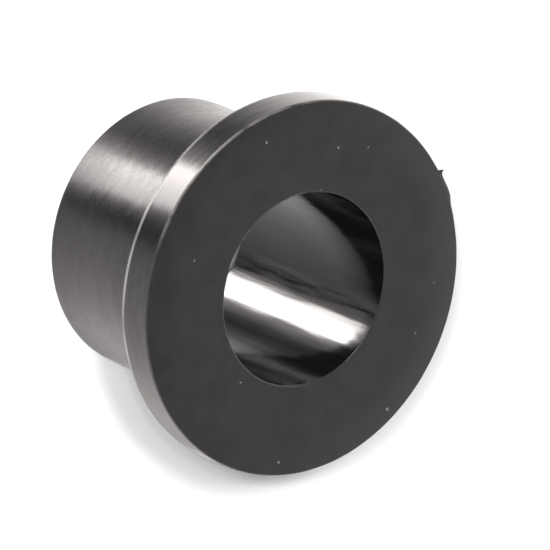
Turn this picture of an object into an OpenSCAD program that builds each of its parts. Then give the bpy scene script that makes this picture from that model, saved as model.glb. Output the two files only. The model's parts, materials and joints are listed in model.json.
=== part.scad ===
// Shoulder washer for a 1/4 inch screw, turned from black engineering plastic.
// The washer stands on the end of its sleeve, with the flange on top. The axis of
// the bore is Z, and z = 0 is the end face of the sleeve.

/* [Flange] */
// Outer diameter of the flange
flange_d = 12.7; // [11.4:0.1:20]
// Thickness of the flange, from its seat to its front face
flange_t = 1.42; // [0.8:0.02:4]

/* [Sleeve] */
// Outer diameter of the sleeve, which enters the hole in the panel
sleeve_d = 9.32; // [8:0.02:10.4]
// Length of the sleeve, from its end face to the flange's seat
sleeve_l = 6.52; // [2:0.02:20]

/* [Bore] */
// Diameter of the through bore, which clears the screw
bore_d = 6.54; // [4:0.02:7]

/* [Edges] */
// Radius of the round between the flange's front face and its rim
front_edge_r = 0.08; // [0.02:0.01:0.3]
// Radius of the round between the flange's rim and its seat
seat_edge_r = 0.16; // [0.02:0.01:0.2]
// Radius of the round at the bore's mouth in the flange
bore_mouth_r = 0.1; // [0.02:0.01:0.3]
// Radius of the round at the bore's mouth in the sleeve's end
bore_exit_r = 0.1; // [0.02:0.01:0.2]
// Radius of the lead-in round on the outside of the sleeve's end
lead_in_r = 0.12; // [0.02:0.01:0.2]
// Radius of the fillet that the turning tool leaves between sleeve and seat
root_r = 0.15; // [0.05:0.01:0.25]

/* [Hidden] */

flange_r = flange_d / 2;
sleeve_r = sleeve_d / 2;
bore_r = bore_d / 2;
overall_l = sleeve_l + flange_t;

// How far a corner's shape runs past the corner, so that it cuts or joins cleanly
overrun = 0.05;

// A full turn is cut into this many steps
$fn = 180;

// The leftover between a square corner at the origin and its round of radius r,
// for a body that lies on the -x, -y side. Taken away, it rounds that corner.
// Added in a hollow corner, it is the fillet.
module corner_spandrel(r) {
    translate([-r, -r])
        difference() {
            square(r + overrun);
            circle(r);
        }
}

// The two turned steps, still with square edges, and the fillet between them
module stepped_section() {
    translate([bore_r, 0])
        square([sleeve_r - bore_r, overall_l]);
    translate([bore_r, sleeve_l])
        square([flange_r - bore_r, flange_t]);
    translate([sleeve_r, sleeve_l])
        rotate(90)
            corner_spandrel(root_r);
}

// Half of the washer's section, as it is revolved: x is the radius, y the height
module washer_section() {
    difference() {
        stepped_section();
        translate([flange_r, overall_l])
            corner_spandrel(front_edge_r);
        translate([flange_r, sleeve_l])
            rotate(-90)
                corner_spandrel(seat_edge_r);
        translate([sleeve_r, 0])
            rotate(-90)
                corner_spandrel(lead_in_r);
        translate([bore_r, overall_l])
            rotate(90)
                corner_spandrel(bore_mouth_r);
        translate([bore_r, 0])
            rotate(180)
                corner_spandrel(bore_exit_r);
    }
}

module shoulder_washer() {
    color([0.1, 0.1, 0.1])
        rotate_extrude()
            washer_section();
}

shoulder_washer();
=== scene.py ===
"""A turned plastic shoulder washer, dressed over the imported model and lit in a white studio.

Lengths are in metres, apart from the lists of burrs and specks, which are in millimetres.
"Bearing" is an angle round the washer's axis, in degrees, from -Y towards +X, so that bearing
0 faces the camera.
"""
import json
import math
import random
from dataclasses import dataclass

import bpy
from mathutils import Matrix, Vector, noise


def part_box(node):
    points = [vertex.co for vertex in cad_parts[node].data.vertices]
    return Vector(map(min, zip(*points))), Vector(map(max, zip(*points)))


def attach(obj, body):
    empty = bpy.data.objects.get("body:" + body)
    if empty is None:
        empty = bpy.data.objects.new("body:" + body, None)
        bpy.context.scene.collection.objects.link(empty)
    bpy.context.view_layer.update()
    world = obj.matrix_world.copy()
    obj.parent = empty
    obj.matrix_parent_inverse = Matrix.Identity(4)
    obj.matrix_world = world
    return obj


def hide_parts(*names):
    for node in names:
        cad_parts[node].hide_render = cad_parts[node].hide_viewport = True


NODE = "shoulder_washer"
MM = 0.001
SEED = 7

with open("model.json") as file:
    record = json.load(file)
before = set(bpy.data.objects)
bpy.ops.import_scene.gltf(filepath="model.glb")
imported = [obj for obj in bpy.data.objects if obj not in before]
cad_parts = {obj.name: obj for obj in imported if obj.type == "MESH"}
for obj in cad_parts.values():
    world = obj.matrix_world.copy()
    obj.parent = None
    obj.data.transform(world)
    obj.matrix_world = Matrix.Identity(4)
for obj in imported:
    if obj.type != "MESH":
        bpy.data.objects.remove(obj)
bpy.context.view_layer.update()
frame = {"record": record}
mounts = {mount["name"]: mount for mount in frame["record"]["mounts"]}

# Main sizes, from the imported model
FLANGE_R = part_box(NODE)[1].x
TOP_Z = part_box(NODE)[1].z
SEAT_Z = mounts["seat"]["pos_m"][2]
SLEEVE_R = mounts["sleeve"]["dims"]["r_mm"] * MM
BORE_R = mounts["bore"]["dims"]["r_mm"] * MM

# Edge rounds and the root fillet. The flange's two edges are worn further down the rim's side
# than across its faces.
FRONT_EDGE_R = 0.05 * MM
FRONT_EDGE_WEAR = 0.09 * MM
SEAT_EDGE_R = 0.05 * MM
SEAT_EDGE_WEAR = 0.17 * MM
BORE_MOUTH_R = 0.05 * MM
BORE_EXIT_R = 0.05 * MM
LEAD_IN_R = 0.12 * MM
ROOT_R = 0.15 * MM

# How finely the washer is revolved and its section divided. SUPPORT is how close a straight
# run's first and last points lie to the rounds beside it.
SEGMENTS = 360
ARC_STEPS = 8
SUPPORT = 0.012 * MM
TURNED_STEP = 0.08 * MM
BORE_STEP = 0.3 * MM
FACE_STEP = 0.15 * MM

# The front face falls away a little towards its rim
ROLL_OFF = 0.045 * MM
ROLL_OFF_START = 5.0 * MM

# Zones of the washer's skin, in the order of its material slots
FACE, SLEEVE, RIM, BORE, EDGE, SEAT_EDGE = range(6)

# Marks of the making on each zone, in layers of height, waves per radian of bearing, and
# length along the outline. They fade out where two zones meet.
MARKS = {
    FACE: ((0.0015 * MM, 5.0, 1.0 * MM),),
    SLEEVE: ((0.003 * MM, 9.0, 0.18 * MM), (0.006 * MM, 3.0, 0.7 * MM)),
    RIM: ((0.003 * MM, 9.0, 0.18 * MM), (0.004 * MM, 3.0, 0.7 * MM)),
    BORE: ((0.004 * MM, 3.0, 1.6 * MM), (0.003 * MM, 16.0, 2.0 * MM)),
    EDGE: ((0.006 * MM, 14.0, 0.2 * MM),),
    SEAT_EDGE: ((0.004 * MM, 12.0, 0.2 * MM),),
}
MARKS_FADE = 0.15 * MM

# Burrs, as bearings and heights in millimetres: a spike and then a raised lip on the flange's
# front edge, and a ragged lip on the near side of the bore's mouth
FRONT_BURR = (
    (-122.6, 0.0),
    (-123.0, 0.05),
    (-123.3, 0.22),
    (-124.1, 0.11),
    (-125.2, 0.07),
    (-127.0, 0.07),
    (-129.5, 0.085),
    (-132.6, 0.085),
    (-133.5, 0.06),
    (-135.0, 0.03),
    (-137.5, 0.0),
)
MOUTH_BURR = ((9, 0.0), (6, 0.08), (2, 0.13), (-3, 0.1), (-8, 0.05))
MOUTH_BURR_END = -64
MOUTH_BURR_HEIGHT = 0.06
MOUTH_BURR_STEP = 2
BURR_STEP = 0.2
BURR_FOOT = 0.1 * MM
BURR_SINK = 0.03 * MM
OUTWARD, INWARD = 1, -1

# Pale specks on the front face, as bearing, and distance from the axis and radius in
# millimetres
SPECKS = (
    (-45.7, 5.49, 0.05),
    (-78.5, 4.79, 0.05),
    (-92.4, 5.10, 0.035),
    (5.8, 4.80, 0.045),
    (73.9, 3.76, 0.045),
    (107.5, 5.88, 0.06),
    (-179.6, 5.16, 0.045),
    (-73.4, 3.34, 0.03),
    (-160.3, 5.40, 0.03),
    (153.3, 5.92, 0.07),
)
SPECK_RINGS = 5
SPECK_SIDES = 9
SPECK_FLATNESS = 0.35
SPECK_STRETCH = (0.75, 1.3)
SPECK_RAGGEDNESS = (0.8, 1.15)

# The photograph's frame and the camera that took it
PHOTO_PX = 550
FACE_CENTRE_PX = (305.0, 289.4)
FOCAL = 440.0
SENSOR = 36.0
ELEVATION = 50.23
ROLL = 112.14
DISTANCE = 220.1 * MM
CLIP_START = 0.01
CLIP_END = 10.0


# Profile of the washer

def arc(corner, before, after, radii):
    """Points of the round at a square corner of the outline, from one side to the next."""
    entering = (corner - before).normalized() * radii[0]
    leaving = (after - corner).normalized() * radii[1]
    turns = [math.radians(90 * i / ARC_STEPS) for i in range(ARC_STEPS + 1)]
    return [
        corner - entering * (1 - math.sin(t)) + leaving * (1 - math.cos(t)) for t in turns
    ]


def straight(start, end, step):
    """Points between two arcs, with one close to each so that the flat stays flat when shaded."""
    length = (end - start).length
    along = (end - start) / length
    count = max(1, round((length - 2 * SUPPORT) / step))
    gap = (length - 2 * SUPPORT) / count
    return [start + along * (SUPPORT + gap * i) for i in range(count + 1)]


def washer_profile():
    """The closed half section, from the bore's exit outwards, as points with their zone.

    Each point also has the strength of the marks there. A corner has its place, its round's
    two radii and zone, and the zone and step of the straight run after it.
    """
    seat_edge = (SEAT_EDGE_R, SEAT_EDGE_WEAR)
    front_edge = (FRONT_EDGE_WEAR, FRONT_EDGE_R)
    corners = [
        (Vector((BORE_R, 0)), (BORE_EXIT_R, BORE_EXIT_R), BORE, SLEEVE, TURNED_STEP),
        (Vector((SLEEVE_R, 0)), (LEAD_IN_R, LEAD_IN_R), SLEEVE, SLEEVE, TURNED_STEP),
        (Vector((SLEEVE_R, SEAT_Z)), (ROOT_R, ROOT_R), SLEEVE, RIM, TURNED_STEP),
        (Vector((FLANGE_R, SEAT_Z)), seat_edge, SEAT_EDGE, RIM, TURNED_STEP),
        (Vector((FLANGE_R, TOP_Z)), front_edge, EDGE, FACE, FACE_STEP),
        (Vector((BORE_R, TOP_Z)), (BORE_MOUTH_R, BORE_MOUTH_R), EDGE, BORE, BORE_STEP),
    ]
    arcs = []
    for i, corner in enumerate(corners):
        following = corners[(i + 1) % len(corners)]
        arcs.append(arc(corner[0], corners[i - 1][0], following[0], corner[1]))
    points = []
    for i, (_, _, edge_zone, zone, step) in enumerate(corners):
        following = arcs[(i + 1) % len(corners)]
        run = straight(arcs[i][-1], following[0], step)
        for k, point in enumerate(arcs[i]):
            points.append((point, edge_zone, math.sin(math.pi * k / ARC_STEPS)))
        for point in run:
            room = min((point - run[0]).length, (point - run[-1]).length)
            points.append((point, zone, min(1, room / MARKS_FADE)))
    return points


# Meshes

def at_bearing(radius, bearing, height):
    """The point at that radius and height, at a bearing in degrees."""
    angle = math.radians(bearing)
    return Vector((radius * math.sin(angle), -radius * math.cos(angle), height))


def new_piece(name, points, faces, materials):
    """A smooth mesh object that rides with the washer."""
    mesh = bpy.data.meshes.new(name)
    mesh.from_pydata(points, [], faces)
    mesh.polygons.foreach_set("use_smooth", [True] * len(mesh.polygons))
    for material in materials:
        mesh.materials.append(material)
    piece = bpy.data.objects.new(name, mesh)
    bpy.context.collection.objects.link(piece)
    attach(piece, "root")
    return piece


def marks(zone, bearing, path):
    """Height of the marks of a zone at a bearing and a distance along the outline."""
    angle = math.radians(bearing)
    rise = 0.0
    for height, waves, length in MARKS[zone]:
        place = Vector((waves * math.sin(angle), waves * math.cos(angle), path / length))
        rise += height * noise.noise(place)
    return rise


def roll_off(radius, height):
    """How far a point of the flange is lowered by the fall of the front face."""
    out = max(0, radius - ROLL_OFF_START) / (FLANGE_R - ROLL_OFF_START)
    up = max(0, height - SEAT_Z) / (TOP_Z - SEAT_Z)
    return ROLL_OFF * out * out * up


def build_washer(materials):
    """The washer revolved from its profile, with the marks of its making."""
    profile = washer_profile()
    rings = len(profile)
    points = []
    path = 0.0
    for i, (point, zone, strength) in enumerate(profile):
        before, after = profile[i - 1][0], profile[(i + 1) % rings][0]
        path += (point - before).length
        along = (after - before).normalized()
        out = Vector((along.y, -along.x))
        for j in range(SEGMENTS):
            bearing = 360 * j / SEGMENTS
            spot = point + out * strength * marks(zone, bearing, path)
            points.append(at_bearing(spot.x, bearing, spot.y - roll_off(spot.x, spot.y)))
    faces, zones = [], []
    for i in range(rings):
        ring, following = i * SEGMENTS, (i + 1) % rings * SEGMENTS
        for j in range(SEGMENTS):
            k = (j + 1) % SEGMENTS
            faces.append((ring + j, ring + k, following + k, following + j))
            zones.append(profile[i][1])
    piece = new_piece("turned_washer", points, faces, materials)
    piece.data.polygons.foreach_set("material_index", zones)
    piece.data.update()
    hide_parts(NODE)


def height_at(bearing, burr):
    """Height of a burr at a bearing."""
    for (start, low), (end, high) in zip(burr, burr[1:]):
        if end <= bearing <= start:
            return low + (high - low) * (bearing - start) / (end - start)
    return 0.0


def build_burr(name, burr, radius, side, material):
    """A thin lip that leans up from an edge at 45 degrees, with its foot in the washer.

    side is OUTWARD where it leans away from the axis, and INWARD where it leans towards it.
    """
    first, last = burr[0][0], burr[-1][0]
    count = round((first - last) / BURR_STEP)
    edge_r = radius - side * BURR_SINK
    edge_z = TOP_Z - roll_off(radius, TOP_Z) - BURR_SINK
    points = []
    for i in range(count + 1):
        bearing = first + (last - first) * i / count
        lean = height_at(bearing, burr) * MM / math.sqrt(2)
        points.append(at_bearing(edge_r - side * BURR_FOOT, bearing, edge_z))
        points.append(at_bearing(edge_r, bearing, edge_z - BURR_FOOT))
        points.append(at_bearing(edge_r + side * lean, bearing, edge_z + lean))
    faces = [(0, 1, 2), (3 * count, 3 * count + 2, 3 * count + 1)]
    for i in range(count):
        for k in range(3):
            other = (k + 1) % 3
            faces.append((3 * i + other, 3 * i + k, 3 * i + 3 + k, 3 * i + 3 + other))
    faces = [face[::side] for face in faces]
    new_piece(name, points, faces, [material])


def mouth_burr():
    """Bearings and heights of the ragged lip at the bore's mouth."""
    rest = range(MOUTH_BURR[-1][0] - MOUTH_BURR_STEP, MOUTH_BURR_END, -MOUTH_BURR_STEP)
    ragged = [(bearing, MOUTH_BURR_HEIGHT * random.random()) for bearing in rest]
    return [*MOUTH_BURR, *ragged, (MOUTH_BURR_END, 0.0)]


def build_specks(material):
    """Small flattened grains stuck to the front face."""
    points, faces = [], []
    for bearing, distance, size in SPECKS:
        centre = at_bearing(distance * MM, bearing, 0)
        centre.z = TOP_Z - roll_off(distance * MM, TOP_Z)
        base = len(points)
        stretch = random.uniform(*SPECK_STRETCH)
        turn = Matrix.Rotation(random.uniform(0, math.pi), 3, "Z")
        for i in range(1, SPECK_RINGS):
            tilt = math.pi * i / SPECK_RINGS
            ring_r = size * MM * math.sin(tilt)
            rise = Vector((0, 0, size * MM * math.cos(tilt) * SPECK_FLATNESS))
            for j in range(SPECK_SIDES):
                angle = 2 * math.pi * j / SPECK_SIDES
                reach = ring_r * random.uniform(*SPECK_RAGGEDNESS)
                flat = Vector((math.cos(angle) * stretch, math.sin(angle), 0))
                points.append(centre + turn @ flat * reach + rise)
        for i in range(SPECK_RINGS - 2):
            for j in range(SPECK_SIDES):
                k = (j + 1) % SPECK_SIDES
                a, b = base + i * SPECK_SIDES, base + (i + 1) * SPECK_SIDES
                faces.append((a + j, b + j, b + k, a + k))
        faces.append(tuple(base + j for j in range(SPECK_SIDES)))
        last = base + (SPECK_RINGS - 2) * SPECK_SIDES
        faces.append(tuple(last + j for j in reversed(range(SPECK_SIDES))))
    new_piece("dust_specks", points, faces, [material])


# Node trees

class Nodes:
    """Adds nodes to a material's or world's tree, with inputs given as values or sockets."""

    def __init__(self, owner):
        owner.use_nodes = True
        self.tree = owner.node_tree
        self.tree.nodes.clear()

    def add(self, kind, inputs=None, **settings):
        node = self.tree.nodes.new(kind)
        for name, value in settings.items():
            setattr(node, name, value)
        for name, value in (inputs or {}).items():
            if isinstance(value, bpy.types.NodeSocket):
                self.tree.links.new(value, node.inputs[name])
            else:
                node.inputs[name].default_value = value
        return node

    def math(self, operation, *values):
        inputs = dict(enumerate(values))
        return self.add("ShaderNodeMath", inputs, operation=operation).outputs[0]

    def vector(self, operation, *values, **named):
        """The outputs of vector maths, with its inputs given in order or by name."""
        inputs = {**dict(enumerate(values)), **named}
        return self.add("ShaderNodeVectorMath", inputs, operation=operation).outputs

    def ramp(self, value, low, high, to_low, to_high, shape="SMOOTHSTEP"):
        """A value that goes from to_low to to_high as another goes from low to high."""
        ends = {"From Min": low, "From Max": high, "To Min": to_low, "To Max": to_high}
        inputs = {"Value": value, **ends}
        return self.add("ShaderNodeMapRange", inputs, interpolation_type=shape).outputs[0]

    def facing(self, around, bearing):
        """Cosine of the angle between a direction round the axis and a bearing."""
        return self.vector("DOT_PRODUCT", around, at_bearing(1.0, bearing, 0))["Value"]

    def noise(self, place, scale, detail):
        inputs = {"Vector": place, "Scale": scale, "Detail": detail}
        return self.add("ShaderNodeTexNoise", inputs).outputs["Fac"]

    def bump(self, height, distance, **under):
        """A normal bent by relief, over the one given as Normal if there is one."""
        inputs = {"Height": height, "Distance": distance, "Strength": 1.0, **under}
        return self.add("ShaderNodeBump", inputs).outputs["Normal"]

    def mix(self, factor, first, second):
        """A mix of two numbers."""
        inputs = {"Factor": factor, "A": first, "B": second}
        return self.add("ShaderNodeMix", inputs).outputs["Result"]

    def blend(self, factor, first, second):
        """A mix of two colours, given as values or sockets."""
        node = self.add("ShaderNodeMix", {"Factor": factor}, data_type="RGBA")
        for socket, colour in zip(node.inputs[6:8], (first, second)):
            if isinstance(colour, bpy.types.NodeSocket):
                self.tree.links.new(colour, socket)
            else:
                socket.default_value = (*colour, 1)
        return node.outputs[2]

    def choose(self, factor, first, second):
        """A mix of two shaders."""
        inputs = {0: factor, 1: first.outputs[0], 2: second.outputs[0]}
        return self.add("ShaderNodeMixShader", inputs)


# Materials

PLAIN = (1.0, 1.0, 1.0)


@dataclass
class PaintedLight:
    """Pale streaks of painted light, such as painted highlights, densest at a bearing.

    reach and full are the cosines of how far round from it they fade out and start to fade.
    """

    bearing: float
    reach: float
    full: float
    colour: tuple


@dataclass
class Skin:
    """Black plastic as it looks on one zone.

    waves and length give the streaks' pattern, as in MARKS. tint colours what the skin
    mirrors, and uneven makes it weaker from streak to streak. spread widens what it mirrors
    along the axis, as turned grooves do.
    """

    name: str
    colour: tuple
    roughness: float
    waves: float
    length: float
    streak_height: float
    grain_height: float
    tint: tuple = PLAIN
    uneven: float = 0.0
    spread: float = 0.0
    painted_light: PaintedLight = None
    in_bore: bool = False


# The skins of the washer's zones, in the order of the zones
SKINS = (
    Skin(
        name="matte_face",
        colour=(0.0095, 0.0091, 0.0085),
        roughness=0.36,
        waves=6.0,
        length=0.9 * MM,
        streak_height=0.002 * MM,
        grain_height=0.001 * MM,
    ),
    Skin(
        name="sleeve_skin",
        colour=(0.0095, 0.0092, 0.0088),
        roughness=0.25,
        waves=8.0,
        length=0.17 * MM,
        streak_height=0.0012 * MM,
        grain_height=0.0004 * MM,
        tint=(0.95, 0.91, 0.92),
        uneven=0.12,
        spread=0.75,
    ),
    Skin(
        name="rim_skin",
        colour=(0.0095, 0.0092, 0.0088),
        roughness=0.2,
        waves=8.0,
        length=0.17 * MM,
        streak_height=0.0012 * MM,
        grain_height=0.0004 * MM,
        tint=(0.97, 0.935, 0.945),
        uneven=0.2,
        spread=0.7,
    ),
    Skin(
        name="bore_skin",
        colour=(0.005, 0.0047, 0.0044),
        roughness=0.1,
        waves=20.0,
        length=2.0 * MM,
        streak_height=0.002 * MM,
        grain_height=0.0002 * MM,
        # Pale streaks painted on the bore's far wall, in the dark band it mirrors there: painted
        # light.
        painted_light=PaintedLight(180, 0.985, 0.999, (0.045, 0.042, 0.041)),
        in_bore=True,
    ),
    Skin(
        name="edge_skin",
        colour=(0.018, 0.0175, 0.017),
        roughness=0.3,
        waves=10.0,
        length=0.3 * MM,
        streak_height=0.002 * MM,
        grain_height=0.001 * MM,
        # A pale line painted along the front edge, strongest near bearing -30: a painted
        # highlight.
        painted_light=PaintedLight(-30, 0.74, 0.93, (0.1, 0.097, 0.094)),
    ),
    Skin(
        name="seat_edge_skin",
        colour=(0.018, 0.0175, 0.017),
        roughness=0.25,
        waves=4.0,
        length=0.3 * MM,
        streak_height=0.001 * MM,
        grain_height=0.0005 * MM,
        # A pale line painted along the seat edge, strongest near bearing 10: a painted highlight.
        painted_light=PaintedLight(10, 0.6, 0.9, (0.2, 0.196, 0.192)),
    ),
)

# The lip at the bore's mouth, painted pale for the bright line along the mouth's near edge: a
# painted highlight
PALE_LIP_SKIN = Skin(
    name="lip_painted_highlight",
    colour=(0.11, 0.107, 0.104),
    roughness=0.4,
    waves=30.0,
    length=0.1 * MM,
    streak_height=0.004 * MM,
    grain_height=0.001 * MM,
)

# The noise of streaks and of grain. A span is where its values start and stop to count: for
# # the shade of the colour, for the streaks of painted light, for the roughness and for the
# # blotches of the tint.
# SHADES and ROUGHNESS_SHARES multiply a skin's own colour and roughness.
GRAIN = 0.05 * MM
GRAIN_DETAIL = 3.0
STREAK_DETAIL = 4.0
SHADE_SPAN = (0.3, 0.7)
SHADES = (0.88, 1.14)
PAINTED_LIGHT_SPAN = (0.25, 0.65)
ROUGHNESS_SPAN = (0.7, 1.3)
ROUGHNESS_SHARES = (0.85, 1.15)
BLOTCH_SPAN = (0.65, 0.95)
BLOTCH_GRAIN = 0.6

# How much the plastic mirrors outside the bore. It is rougher near the sleeve's end.
BARE_MIRROR = 0.5
END_ROUGHER = 1.4
END_REACH = 2.8 * MM

# The index of refraction of all the plastic, and the turn that makes spread widen what it
# mirrors along the axis and not around it
PLASTIC_IOR = 1.5
QUARTER_TURN = 0.25

# The bore's mirror strength is painted: a painted highlight in a band, painted shade on the side
# away from a bearing, and painted shade above a line round the wall.
# How much the bore mirrors: most in a band round one bearing, and less on the side away from
# another. Cosines give how far round they reach. Off the band, the mirror dies away towards a
# line round the wall that is highest at one bearing, and stays dim above that line, to match
# the dark crescent in the photograph. The line is fixed to the wall. Its height is where a
# ray at the photograph's angle, mirrored once, would only just leave the bore's far end.
BAND_BEARING = 164
BAND_REACH = (0.86, 0.985)
BAND_MIRROR = 0.6
OFF_BAND_MIRROR = 0.34
BRIGHT_SIDE = 220
BRIGHT_SIDE_REACH = (-0.4, 0.0)
SHADED_SIDE_MIRROR = 0.3
DIM_LINE_BEARING = 180
DIM_LINE_TOP = 7.86 * MM
DIM_LINE_FADE = 2.0 * MM
ABOVE_LINE = 0.06

# Dust, from its darkest grains to its palest
DUST_GRAIN = 0.04 * MM
DUST_SHADES = ((0.07, 0.07, 0.07), (0.2, 0.195, 0.19))
DUST_RELIEF = 0.01 * MM
DUST_ROUGHNESS = 0.9


def bore_mirror(nodes, around, height):
    """How much the bore's wall mirrors, with a painted highlight in a band and painted shade on
    one side and above a line.
    """
    line = nodes.math("MULTIPLY", nodes.facing(around, DIM_LINE_BEARING), DIM_LINE_TOP)
    below = nodes.math("SUBTRACT", line, height)
    dim = nodes.ramp(below, 0.0, DIM_LINE_FADE, ABOVE_LINE, 1.0, "LINEAR")
    side = nodes.ramp(nodes.facing(around, BRIGHT_SIDE), *BRIGHT_SIDE_REACH, SHADED_SIDE_MIRROR, 1.0)
    off_band = nodes.math("MULTIPLY", nodes.math("MULTIPLY", dim, side), OFF_BAND_MIRROR)
    band = nodes.ramp(nodes.facing(around, BAND_BEARING), *BAND_REACH, 0.0, 1.0)
    return nodes.mix(band, off_band, BAND_MIRROR)


def streak_pattern(nodes, skin, around, path):
    """Noise drawn out into streaks round the washer."""
    turned = nodes.vector("SCALE", around, Scale=skin.waves)["Vector"]
    along = nodes.math("DIVIDE", path, skin.length)
    along = nodes.add("ShaderNodeCombineXYZ", {"Z": along}).outputs[0]
    return nodes.noise(nodes.vector("ADD", turned, along)["Vector"], 1.0, STREAK_DETAIL)


def streaky_colour(nodes, skin, streaks, around):
    """The plastic's colour, lighter and darker by streaks, with pale streaks of painted light
    where the skin has them.
    """
    dark, light = ([c * shade for c in skin.colour] for shade in SHADES)
    colour = nodes.blend(nodes.ramp(streaks, *SHADE_SPAN, 0.0, 1.0), dark, light)
    if skin.painted_light:
        near = nodes.facing(around, skin.painted_light.bearing)
        painted = nodes.ramp(near, skin.painted_light.reach, skin.painted_light.full, 0.0, 1.0)
        painted = nodes.math("MULTIPLY", painted, nodes.ramp(streaks, *PAINTED_LIGHT_SPAN, 0.0, 1.0))
        colour = nodes.blend(painted, colour, skin.painted_light.colour)
    return colour


def plastic(skin):
    """Black plastic with streaks, a fine grain and pale streaks of painted light."""
    material = bpy.data.materials.new(skin.name)
    nodes = Nodes(material)
    place = nodes.add("ShaderNodeTexCoord").outputs["Object"]
    axes = nodes.add("ShaderNodeSeparateXYZ", {"Vector": place}).outputs
    flat = nodes.add("ShaderNodeCombineXYZ", {"X": axes["X"], "Y": axes["Y"]}).outputs[0]
    around = nodes.vector("NORMALIZE", flat)["Vector"]
    path = nodes.math("ADD", nodes.vector("LENGTH", flat)["Value"], axes["Z"])
    streaks = streak_pattern(nodes, skin, around, path)
    grain = nodes.noise(place, 1 / GRAIN, GRAIN_DETAIL)

    smooth, rough = (skin.roughness * share for share in ROUGHNESS_SHARES)
    both = nodes.math("ADD", streaks, grain)
    roughness = nodes.ramp(both, *ROUGHNESS_SPAN, smooth, rough)
    if skin.in_bore:
        mirror = bore_mirror(nodes, around, axes["Z"])
    else:
        mirror = BARE_MIRROR
        rougher = nodes.ramp(axes["Z"], 0.0, END_REACH, END_ROUGHER, 1.0)
        roughness = nodes.math("MULTIPLY", roughness, rougher)

    tint = (*skin.tint, 1)
    if skin.uneven:
        blotch = nodes.math("ADD", streaks, nodes.math("MULTIPLY", grain, BLOTCH_GRAIN))
        weak = [c * (1 - skin.uneven) for c in skin.tint]
        tint = nodes.blend(nodes.ramp(blotch, *BLOTCH_SPAN, 0.0, 1.0), weak, skin.tint)

    grainy = nodes.bump(grain, skin.grain_height)
    inputs = {
        "Base Color": streaky_colour(nodes, skin, streaks, around),
        "Roughness": roughness,
        "Normal": nodes.bump(streaks, skin.streak_height, Normal=grainy),
        "IOR": PLASTIC_IOR,
        "Specular IOR Level": mirror,
        "Specular Tint": tint,
        "Anisotropic": skin.spread,
        "Anisotropic Rotation": QUARTER_TURN,
        "Tangent": nodes.add("ShaderNodeTangent", direction_type="RADIAL", axis="Z").outputs[0],
    }
    shader = nodes.add("ShaderNodeBsdfPrincipled", inputs)
    nodes.add("ShaderNodeOutputMaterial", {"Surface": shader.outputs[0]})
    return material


def dust():
    """Pale lint, lighter and darker from grain to grain."""
    material = bpy.data.materials.new("pale_dust")
    nodes = Nodes(material)
    place = nodes.add("ShaderNodeTexCoord").outputs["Object"]
    grain = nodes.noise(place, 1 / DUST_GRAIN, GRAIN_DETAIL)
    inputs = {
        "Base Color": nodes.blend(grain, *DUST_SHADES),
        "Roughness": DUST_ROUGHNESS,
        "Normal": nodes.bump(grain, DUST_RELIEF),
    }
    shader = nodes.add("ShaderNodeBsdfPrincipled", inputs)
    nodes.add("ShaderNodeOutputMaterial", {"Surface": shader.outputs[0]})
    return material


# Studio

# Brightness that the washer mirrors, by bearing
STUDIO = (
    (-180, 1.8),
    (-160, 2.2),
    (-140, 2.35),
    (-120, 2.15),
    (-110, 1.7),
    (-100, 1.2),
    (-90, 0.75),
    (-80, 0.4),
    (-72, 0.18),
    (-64, 0.4),
    (-54, 1.2),
    (-48, 2.4),
    (-14, 1.6),
    (-8, 0.9),
    (-2, 0.15),
    (6, 0.12),
    (12, 0.55),
    (20, 1.05),
    (40, 1.32),
    (60, 1.6),
    (80, 1.78),
    (96, 2.0),
    (112, 1.93),
    (128, 1.5),
    (144, 0.93),
    (154, 0.8),
    (162, 1.05),
    (170, 1.5),
    (180, 1.8),
)
STUDIO_COLOUR = (1.04, 1.0, 0.985, 1)

# Brightness that second reflections inside the bore see, by bearing
STUDIO_AGAIN = (
    (-180, 1.1),
    (-110, 1.0),
    (-76, 1.3),
    (-62, 3.6),
    (-52, 11.0),
    (-42, 17.0),
    (-28, 16.5),
    (-20, 9.0),
    (-10, 2.6),
    (0, 0.35),
    (40, 0.6),
    (60, 1.1),
    (100, 1.5),
    (180, 1.1),
)

# Three lights that the washer mirrors, by their bearings and by the sines of their heights: a
# strip, a dimmer sheet behind it with no lower edge, and a tall light at the strip's end. The
# strip's level changes from its first bearing to its last.
STRIP_BEARINGS = (-43.0, -13.5)
STRIP_HEIGHTS = (-0.829, -0.695)
STRIP_LEVELS = (20.0, 9.0)
SHEET_HEIGHTS = (-1.5, 0.15)
SHEET_LEVEL = 3.4
TALL_BEARINGS = (-44.0, -36.0)
TALL_HEIGHTS = (-0.6, 0.4)
TALL_LEVEL = 9.0
BEARING_SOFTNESS = 3.0
HEIGHT_SOFTNESS = 0.04

# What is mirrored from overhead, and the heights over which it takes over
OVERHEAD_LEVEL = 0.3
OVERHEAD_HEIGHTS = (0.58, 0.8)

# Dim light from all round, and the white that the camera sees behind the washer
AMBIENT = 0.16
BACKDROP = 1.0
WHITE = (1, 1, 1, 1)

# A ray's glossy depth is 1 after one reflection and 2 after two, and this parts them
MIRRORED_ONCE = 1.5

FLOOR_COLOUR = (0.8, 0.8, 0.8, 1)
FLOOR_SIZE = 4.0

# Soft lamps: where they stand, their level, and their softness in degrees
SUNS = {
    "key": ((-0.17, -0.67, 1.0), 0.5, 6.0),
    "wide": ((-0.16, -0.86, 1.0), 0.29, 17.0),
    "low": ((-0.05, -0.93, 1.0), 0.2, 2.5),
    "broad": ((0.03, -0.98, 1.0), 0.3, 12.0),
    "close": ((-0.09, -0.83, 1.0), 0.09, 1.0),
}


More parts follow.
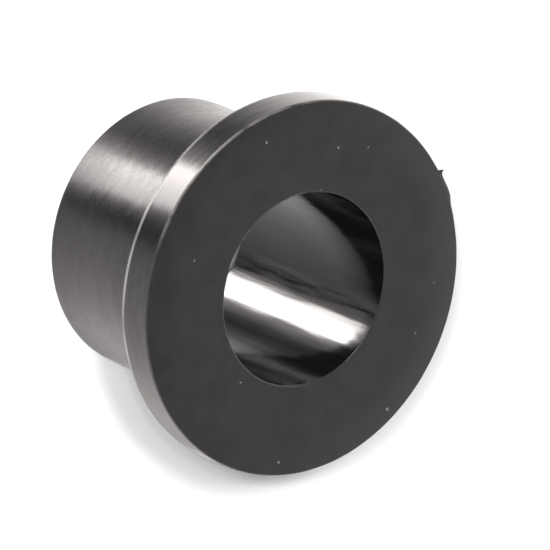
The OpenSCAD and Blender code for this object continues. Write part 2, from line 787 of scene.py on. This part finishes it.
def sheets(nodes, bearing, levels):
    """Brightness by bearing, drawn from one bearing and level to the next."""
    turn = nodes.ramp(bearing, -math.pi, math.pi, 0.0, 1.0, "LINEAR")
    top = max(level for _, level in levels)
    ramp = nodes.add("ShaderNodeValToRGB", {"Fac": turn})
    stops = ramp.color_ramp.elements
    stops.remove(stops[1])
    for at, level in levels:
        share = level / top
        stops.new((at + 180) / 360).color = (share, share, share, 1)
    stops.remove(stops[0])
    return nodes.math("MULTIPLY", ramp.outputs["Color"], top)


def band(nodes, value, low, high, soft):
    """1 between low and high and 0 outside them, with soft edges."""
    rise = nodes.ramp(value, low - soft, low + soft, 0.0, 1.0)
    fall = nodes.ramp(value, high - soft, high + soft, 1.0, 0.0)
    return nodes.math("MULTIPLY", rise, fall)


def light(nodes, bearing, up, bearings, heights, level):
    """A soft-edged patch of light in what the washer mirrors."""
    first, last = (math.radians(b) for b in bearings)
    across = band(nodes, bearing, first, last, math.radians(BEARING_SOFTNESS))
    patch = nodes.math("MULTIPLY", across, band(nodes, up, *heights, HEIGHT_SOFTNESS))
    return nodes.math("MULTIPLY", patch, level)


def mirrored_level(nodes, bearing, up, again):
    """Brightness of the studio by bearing and height, for first and second reflections."""
    first, last = (math.radians(b) for b in STRIP_BEARINGS)
    strip_level = nodes.ramp(bearing, first, last, *STRIP_LEVELS)
    around = sheets(nodes, bearing, STUDIO)
    for bearings, heights, level in (
        (STRIP_BEARINGS, STRIP_HEIGHTS, strip_level),
        (STRIP_BEARINGS, SHEET_HEIGHTS, SHEET_LEVEL),
        (TALL_BEARINGS, TALL_HEIGHTS, TALL_LEVEL),
    ):
        patch = light(nodes, bearing, up, bearings, heights, level)
        around = nodes.math("ADD", around, patch)
    overhead = nodes.ramp(up, *OVERHEAD_HEIGHTS, 0.0, 1.0)
    once = nodes.mix(overhead, around, OVERHEAD_LEVEL)
    return nodes.mix(again, once, sheets(nodes, bearing, STUDIO_AGAIN))


def build_world():
    """White to the camera, the studio to what mirrors it, and a dim light to all else."""
    world = bpy.data.worlds.new("studio")
    bpy.context.scene.world = world
    nodes = Nodes(world)
    world.cycles.sampling_method = "NONE"
    direction = nodes.add("ShaderNodeTexCoord").outputs["Generated"]
    axes = nodes.add("ShaderNodeSeparateXYZ", {"Vector": direction}).outputs
    back = nodes.math("MULTIPLY", axes["Y"], -1.0)
    bearing = nodes.math("ARCTAN2", axes["X"], back)
    ray = nodes.add("ShaderNodeLightPath").outputs
    again = nodes.math("GREATER_THAN", ray["Glossy Depth"], MIRRORED_ONCE)
    level = mirrored_level(nodes, bearing, axes["Z"], again)
    looked_at = nodes.math("MAXIMUM", ray["Is Camera Ray"], ray["Is Transmission Ray"])
    studio = nodes.add("ShaderNodeBackground", {"Color": STUDIO_COLOUR, "Strength": level})
    ambient = nodes.add("ShaderNodeBackground", {"Color": WHITE, "Strength": AMBIENT})
    backdrop = nodes.add("ShaderNodeBackground", {"Color": WHITE, "Strength": BACKDROP})
    unseen = nodes.choose(ray["Is Glossy Ray"], ambient, studio)
    seen = nodes.choose(looked_at, unseen, backdrop)
    nodes.add("ShaderNodeOutputWorld", {"Surface": seen.outputs[0]})


def build_floor():
    """A white floor that catches shadows. Mirrored and clear rays pass through it."""
    material = bpy.data.materials.new("white_floor")
    nodes = Nodes(material)
    ray = nodes.add("ShaderNodeLightPath").outputs
    passing = nodes.math("MAXIMUM", ray["Is Glossy Ray"], ray["Is Transmission Ray"])
    passing = nodes.math("MAXIMUM", passing, ray["Is Shadow Ray"])
    paint = nodes.add("ShaderNodeBsdfDiffuse", {"Color": FLOOR_COLOUR})
    clear = nodes.add("ShaderNodeBsdfTransparent")
    skin = nodes.choose(passing, paint, clear)
    nodes.add("ShaderNodeOutputMaterial", {"Surface": skin.outputs[0]})
    half = FLOOR_SIZE / 2
    corners = [(-half, -half, 0), (half, -half, 0), (half, half, 0), (-half, half, 0)]
    mesh = bpy.data.meshes.new("floor")
    mesh.from_pydata(corners, [], [(0, 1, 2, 3)])
    mesh.materials.append(material)
    floor = bpy.data.objects.new("floor", mesh)
    bpy.context.collection.objects.link(floor)


def sun(name, towards, level, softness):
    """A soft lamp, far away in a direction, that the washer doesn't mirror.

    level 1 alone lights white paint on the floor to white.
    """
    towards = Vector(towards).normalized()
    lamp = bpy.data.lights.new(name, "SUN")
    lamp.energy = level * math.pi / towards.z
    lamp.angle = math.radians(softness)
    holder = bpy.data.objects.new(name, lamp)
    holder.rotation_mode = "QUATERNION"
    holder.rotation_quaternion = towards.to_track_quat("Z", "Y")
    holder.visible_glossy = False
    bpy.context.collection.objects.link(holder)


def build_camera():
    """The photograph's camera, rolled so that the standing washer lies as it does there."""
    pitch = Matrix.Rotation(math.radians(90 - ELEVATION), 3, "X")
    turn = pitch @ Matrix.Rotation(math.radians(ROLL), 3, "Z")
    right, up, back = turn.col
    pixel = SENSOR / FOCAL / PHOTO_PX
    across = (FACE_CENTRE_PX[0] - PHOTO_PX / 2) * pixel * DISTANCE
    down = (FACE_CENTRE_PX[1] - PHOTO_PX / 2) * pixel * DISTANCE
    camera = bpy.data.cameras.new("camera")
    camera.lens = FOCAL
    camera.sensor_width = SENSOR
    camera.clip_start = CLIP_START
    camera.clip_end = CLIP_END
    place = Vector((0, 0, TOP_Z)) - right * across + up * down + back * DISTANCE
    holder = bpy.data.objects.new("camera", camera)
    holder.matrix_world = Matrix.Translation(place) @ turn.to_4x4()
    bpy.context.collection.objects.link(holder)
    bpy.context.scene.camera = holder


# The washer and its stage

random.seed(SEED)
skins = [plastic(skin) for skin in SKINS]
build_washer(skins)
build_burr("front_burr", FRONT_BURR, FLANGE_R, OUTWARD, skins[EDGE])
build_burr("mouth_burr", mouth_burr(), BORE_R, INWARD, plastic(PALE_LIP_SKIN))
build_specks(dust())
build_camera()
build_world()
build_floor()
for name, (towards, level, softness) in SUNS.items():
    sun(name, towards, level, softness)

bpy.context.scene.view_settings.view_transform = "Standard"
